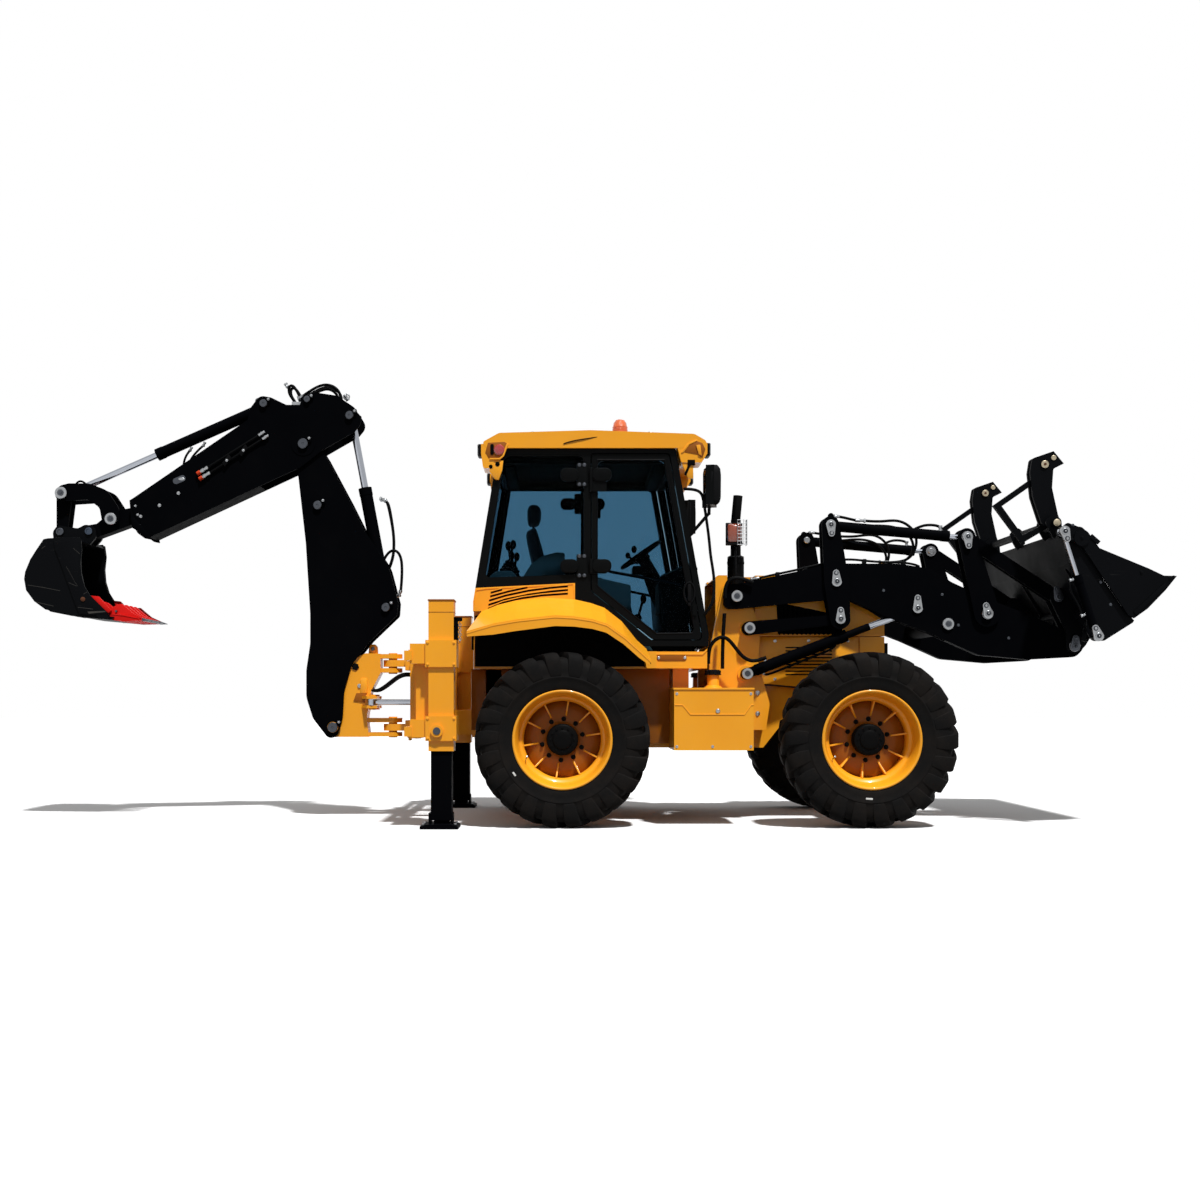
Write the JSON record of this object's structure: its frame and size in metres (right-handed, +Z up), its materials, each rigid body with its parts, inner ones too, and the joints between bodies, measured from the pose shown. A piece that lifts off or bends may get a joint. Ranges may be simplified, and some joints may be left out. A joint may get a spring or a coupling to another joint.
{
  "type": "backhoe loader",
  "caption": "Wheeled backhoe loader: glazed cab, front loader arms with an opening bucket and grapple, and a side-shifting rear digger with vertical stabilisers.",
  "frame": {"origin": "on the ground, at the middle of the machine's length and width", "axes": "+X to the front (loader end), +Y to the machine's left, +Z up"},
  "size_m": [8.6238, 2.412, 3.3572],
  "materials": {
    "machine_yellow": "gloss orange-yellow paint",
    "arm_black": "gloss black paint",
    "cab_black": "satin black paint",
    "ram_chrome": "polished chrome",
    "pin_steel": "zinc plated",
    "tyre_rubber": "dusty black rubber",
    "tinted_glass": "blue-green tinted",
    "tooth_red": "red paint",
    "seat_black": "dark trim",
    "engine_grey": "painted iron",
    "lamp_clear": "clear lens"
  },
  "bodies": {
    "machine": {"chassis": "machine_yellow", "rear_frame": "machine_yellow", "axles": "machine_yellow", "engine": "engine_grey", "cab_frame": "cab_black", "cab_body": "machine_yellow", "cab_glass": "tinted_glass", "cab_roof": "machine_yellow", "cab_interior": "seat_black", "lamps": "lamp_clear"},
    "bonnet": {"bonnet": "machine_yellow"},
    "wheel_rear_right": {"tyre_rear_right": "tyre_rubber", "rim_rear_right": "machine_yellow"},
    "wheel_front_right": {"tyre_front_right": "tyre_rubber", "rim_front_right": "machine_yellow"},
    "knuckle_right": {"knuckle_right": "machine_yellow"},
    "door_right": {"door_right": "cab_black", "door_right_glass": "tinted_glass"},
    "leg_right": {"leg_right": "arm_black"},
    "swing_rod_right": {"swing_rod_right": "ram_chrome"},
    "wheel_rear_left": {"tyre_rear_left": "tyre_rubber", "rim_rear_left": "machine_yellow"},
    "wheel_front_left": {"tyre_front_left": "tyre_rubber", "rim_front_left": "machine_yellow"},
    "knuckle_left": {"knuckle_left": "machine_yellow"},
    "door_left": {"door_left": "cab_black", "door_left_glass": "tinted_glass"},
    "leg_left": {"leg_left": "arm_black"},
    "swing_rod_left": {"swing_rod_left": "ram_chrome"},
    "arms": {"loader_arms": "arm_black"},
    "rear_levers": {"rear_levers": "arm_black"},
    "level_links": {"level_links": "arm_black"},
    "lift_barrels": {"lift_barrels": "arm_black"},
    "lift_rods": {"lift_rods": "ram_chrome"},
    "lever_pins": {"lever_pins": "pin_steel"},
    "front_levers": {"front_levers": "arm_black"},
    "link_pins": {"link_pins": "pin_steel"},
    "tilt_links": {"tilt_links": "arm_black"},
    "tilt_barrels": {"tilt_barrels": "arm_black"},
    "tilt_rods": {"tilt_rods": "ram_chrome"},
    "bucket_pins": {"bucket_pins": "pin_steel"},
    "loader_bucket": {"loader_bucket": "arm_black"},
    "clam": {"clam": "arm_black"},
    "clam_barrels": {"clam_barrels": "arm_black"},
    "clam_rods": {"clam_rods": "ram_chrome"},
    "grapple_arms": {"grapple_arms": "arm_black"},
    "carriage": {"carriage": "machine_yellow"},
    "swing_post": {"swing_post": "machine_yellow"},
    "boom": {"boom": "arm_black"},
    "boom_barrel": {"boom_barrel": "arm_black"},
    "boom_rod": {"boom_rod": "ram_chrome"},
    "dipper": {"dipper": "arm_black"},
    "dipper_barrel": {"dipper_barrel": "arm_black"},
    "dipper_rod": {"dipper_rod": "ram_chrome"},
    "arch_links": {"arch_links": "arm_black"},
    "bucket_link": {"bucket_link": "arm_black"},
    "bucket_barrel": {"bucket_barrel": "arm_black"},
    "bucket_rod": {"bucket_rod": "ram_chrome"},
    "digger_bucket": {"digger_bucket": "arm_black", "digger_teeth": "tooth_red"}
  },
  "joints": [
    {"name": "wheel_rear_right_spin", "type": "hinge", "parent": "machine", "child": "wheel_rear_right", "pos_m": [-0.12291, -0.97, 0.64], "axis": [0, 1, 0], "continuous": true},
    {"name": "steer_right", "type": "hinge", "parent": "machine", "child": "knuckle_right", "pos_m": [2.11009, -0.8, 0.64], "axis": [0, 0, 1], "range_deg": [-19, 19]},
    {"name": "wheel_front_right_spin", "type": "hinge", "parent": "knuckle_right", "child": "wheel_front_right", "pos_m": [2.11009, -0.97, 0.64], "axis": [0, 1, 0], "continuous": true},
    {"name": "door_right_hinge", "type": "hinge", "parent": "machine", "child": "door_right", "pos_m": [0.09209, -0.816, 2.1], "axis": [0, 0, -1], "range_deg": [0, 65]},
    {"name": "leg_right_slide", "type": "slide", "parent": "machine", "child": "leg_right", "axis": [0, 0, 1], "range_m": [-0.15, 0.45]},
    {"name": "wheel_rear_left_spin", "type": "hinge", "parent": "machine", "child": "wheel_rear_left", "pos_m": [-0.12291, 0.97, 0.64], "axis": [0, 1, 0], "continuous": true},
    {"name": "steer_left", "type": "hinge", "parent": "machine", "child": "knuckle_left", "pos_m": [2.11009, 0.8, 0.64], "axis": [0, 0, 1], "range_deg": [-19, 19]},
    {"name": "wheel_front_left_spin", "type": "hinge", "parent": "knuckle_left", "child": "wheel_front_left", "pos_m": [2.11009, 0.97, 0.64], "axis": [0, 1, 0], "continuous": true},
    {"name": "door_left_hinge", "type": "hinge", "parent": "machine", "child": "door_left", "pos_m": [0.09209, 0.816, 2.1], "axis": [0, 0, 1], "range_deg": [0, 65]},
    {"name": "leg_left_slide", "type": "slide", "parent": "machine", "child": "leg_left", "axis": [0, 0, 1], "range_m": [-0.15, 0.45]},
    {"name": "bonnet_hinge", "type": "hinge", "parent": "machine", "child": "bonnet", "pos_m": [1.06309, 0, 1.878], "axis": [0, -1, 0], "range_deg": [0, 45]},
    {"name": "loader_lift", "type": "hinge", "parent": "machine", "child": "arms", "pos_m": [1.20209, 0, 1.717], "axis": [0, -1, 0], "range_deg": [-25, 48]},
    {"name": "rear_lever_turn", "type": "hinge", "parent": "arms", "child": "rear_levers", "pos_m": [1.95509, 0, 1.826], "axis": [0, -1, 0], "range_deg": [-46.82, 24.63]},
    {"name": "level_link_turn", "type": "hinge", "parent": "machine", "child": "level_links", "pos_m": [1.29909, 0, 1.475], "axis": [0, -1, 0], "range_deg": [-28.18, 53.65]},
    {"name": "lift_ram_turn", "type": "hinge", "parent": "machine", "child": "lift_barrels", "pos_m": [1.28209, 0, 1.129], "axis": [0, -1, 0], "range_deg": [-21.23, 40.3]},
    {"name": "lift_rod_slide", "type": "slide", "parent": "lift_barrels", "child": "lift_rods", "axis": [0.9333, 0, 0.359], "range_m": [-0.2276, 0.4352]},
    {"name": "front_lever_level", "type": "hinge", "parent": "arms", "child": "lever_pins", "pos_m": [3.09709, 0, 1.583], "axis": [0, -1, 0], "range_deg": [-33.22, 17.54]},
    {"name": "bucket_level", "type": "hinge", "parent": "arms", "child": "bucket_pins", "pos_m": [3.75609, 0, 1.337], "axis": [0, -1, 0], "range_deg": [-50.55, 26.57]},
    {"name": "loader_tilt", "type": "hinge", "parent": "bucket_pins", "child": "loader_bucket", "pos_m": [3.75609, 0, 1.337], "axis": [0, -1, 0], "range_deg": [-85, 8]},
    {"name": "front_lever_tilt", "type": "hinge", "parent": "lever_pins", "child": "front_levers", "pos_m": [3.09709, 0, 1.583], "axis": [0, -1, 0], "range_deg": [-57.07, 5.82]},
    {"name": "tilt_link_level", "type": "hinge", "parent": "front_levers", "child": "link_pins", "pos_m": [2.94209, 0, 2.165], "axis": [0, -1, 0], "range_deg": [-17.14, 32.45]},
    {"name": "tilt_link_turn", "type": "hinge", "parent": "link_pins", "child": "tilt_links", "pos_m": [2.94209, 0, 2.165], "axis": [0, -1, 0], "range_deg": [-5.34, 51.93]},
    {"name": "tilt_ram_turn", "type": "hinge", "parent": "rear_levers", "child": "tilt_barrels", "pos_m": [1.91009, 0, 2.256], "axis": [0, -1, 0], "range_deg": [-27.05, 51.47]},
    {"name": "tilt_rod_slide", "type": "slide", "parent": "tilt_barrels", "child": "tilt_rods", "axis": [0.9961, 0, -0.0878], "range_m": [-0.0564, 0.5797]},
    {"name": "clam_open", "type": "hinge", "parent": "loader_bucket", "child": "clam", "pos_m": [3.62329, 0, 2.09889], "axis": [0, -1, 0], "range_deg": [0, 45]},
    {"name": "clam_ram_turn", "type": "hinge", "parent": "loader_bucket", "child": "clam_barrels", "pos_m": [3.71507, 0, 1.38744], "axis": [0, -1, 0], "range_deg": [-0.5, 2.92]},
    {"name": "clam_rod_slide", "type": "slide", "parent": "clam_barrels", "child": "clam_rods", "axis": [-0.3051, 0, 0.9523], "range_m": [-0.1158, 0.002]},
    {"name": "grapple_close", "type": "hinge", "parent": "loader_bucket", "child": "grapple_arms", "pos_m": [3.52027, 0, 2.23566], "axis": [0, -1, 0], "range_deg": [-80, 0]},
    {"name": "sideshift", "type": "slide", "parent": "machine", "child": "carriage", "axis": [0, 1, 0], "range_m": [-0.5, 0.5]},
    {"name": "swing", "type": "hinge", "parent": "carriage", "child": "swing_post", "pos_m": [-1.47391, 0, 0.9], "axis": [0, 0, 1], "range_deg": [-90, 90]},
    {"name": "swing_rod_right_slide", "type": "slide", "parent": "carriage", "child": "swing_rod_right", "axis": [1, 0, 0], "range_m": [-0.252, 0.252]},
    {"name": "swing_rod_left_slide", "type": "slide", "parent": "carriage", "child": "swing_rod_left", "axis": [1, 0, 0], "range_m": [-0.252, 0.252]},
    {"name": "boom_raise", "type": "hinge", "parent": "swing_post", "child": "boom", "pos_m": [-1.93791, 0, 0.713], "axis": [0, -1, 0], "range_deg": [-8, 73]},
    {"name": "boom_ram_turn", "type": "hinge", "parent": "swing_post", "child": "boom_barrel", "pos_m": [-1.76291, 0, 1.193], "axis": [0, -1, 0], "range_deg": [-9.63, 83.79]},
    {"name": "boom_rod_slide", "type": "slide", "parent": "boom_barrel", "child": "boom_rod", "axis": [-0.2249, 0, 0.9744], "range_m": [-0.0632, 0.5601]},
    {"name": "dipper_crowd", "type": "hinge", "parent": "boom", "child": "dipper", "pos_m": [-2.16991, 0, 2.954], "axis": [0, -1, 0], "range_deg": [-70, 38]},
    {"name": "dipper_ram_turn", "type": "hinge", "parent": "boom", "child": "dipper_barrel", "pos_m": [-1.51791, 0, 1.662], "axis": [0, -1, 0], "range_deg": [-1.12, 1.65]},
    {"name": "dipper_rod_slide", "type": "slide", "parent": "dipper_barrel", "child": "dipper_rod", "axis": [-0.1848, 0, 0.9828], "range_m": [-0.4852, 0.2643]},
    {"name": "digger_bucket_curl", "type": "hinge", "parent": "dipper", "child": "digger_bucket", "pos_m": [-3.87591, 0, 2.267], "axis": [0, -1, 0], "range_deg": [-90, 12]},
    {"name": "arch_link_turn", "type": "hinge", "parent": "dipper", "child": "arch_links", "pos_m": [-3.69091, 0, 2.361], "axis": [0, -1, 0], "range_deg": [-49.82, 7.08]},
    {"name": "bucket_link_turn", "type": "hinge", "parent": "arch_links", "child": "bucket_link", "pos_m": [-4.08391, 0, 2.566], "axis": [0, -1, 0], "range_deg": [-4.76, 32.45]},
    {"name": "bucket_ram_turn", "type": "hinge", "parent": "dipper", "child": "bucket_barrel", "pos_m": [-2.48191, 0, 3.272], "axis": [0, -1, 0], "range_deg": [-5.03, 1.1]},
    {"name": "bucket_rod_slide", "type": "slide", "parent": "bucket_barrel", "child": "bucket_rod", "axis": [-0.9151, 0, -0.4033], "range_m": [-0.353, 0.0488]}
  ],
  "couplings": [
    {"joint": "steer_left", "follows": "steer_right", "ratio": 1},
    {"joint": "rear_lever_turn", "follows": "loader_lift", "ratio": -0.9651},
    {"joint": "level_link_turn", "follows": "loader_lift", "ratio": 1.1073},
    {"joint": "lift_ram_turn", "follows": "loader_lift", "ratio": 0.8291},
    {"joint": "lift_rod_slide", "follows": "loader_lift", "m_per_rad": 0.51705},
    {"joint": "front_lever_level", "follows": "loader_lift", "ratio": -0.6816},
    {"joint": "bucket_level", "follows": "loader_lift", "ratio": -1.0427},
    {"joint": "front_lever_tilt", "follows": "loader_tilt", "ratio": 0.6655},
    {"joint": "tilt_link_level", "follows": "loader_lift", "ratio": 0.6657},
    {"joint": "tilt_link_turn", "follows": "loader_tilt", "ratio": -0.6051},
    {"joint": "tilt_ram_turn", "follows": "loader_lift", "ratio": 1.0619},
    {"joint": "tilt_rod_slide", "follows": "loader_tilt", "m_per_rad": -0.38944},
    {"joint": "clam_ram_turn", "follows": "clam_open", "ratio": 0.0538},
    {"joint": "clam_rod_slide", "follows": "clam_open", "m_per_rad": -0.14496},
    {"joint": "swing_rod_right_slide", "follows": "swing", "m_per_rad": 0.15915},
    {"joint": "swing_rod_left_slide", "follows": "swing", "m_per_rad": -0.15915},
    {"joint": "boom_ram_turn", "follows": "boom_raise", "ratio": 1.1409},
    {"joint": "boom_rod_slide", "follows": "boom_raise", "m_per_rad": 0.43805},
    {"joint": "dipper_ram_turn", "follows": "dipper_crowd", "ratio": -0.0164},
    {"joint": "dipper_rod_slide", "follows": "dipper_crowd", "m_per_rad": 0.39551},
    {"joint": "arch_link_turn", "follows": "digger_bucket_curl", "ratio": 0.548},
    {"joint": "bucket_link_turn", "follows": "digger_bucket_curl", "ratio": -0.355},
    {"joint": "bucket_ram_turn", "follows": "digger_bucket_curl", "ratio": 0.0503},
    {"joint": "bucket_rod_slide", "follows": "digger_bucket_curl", "m_per_rad": 0.22345}
  ]
}
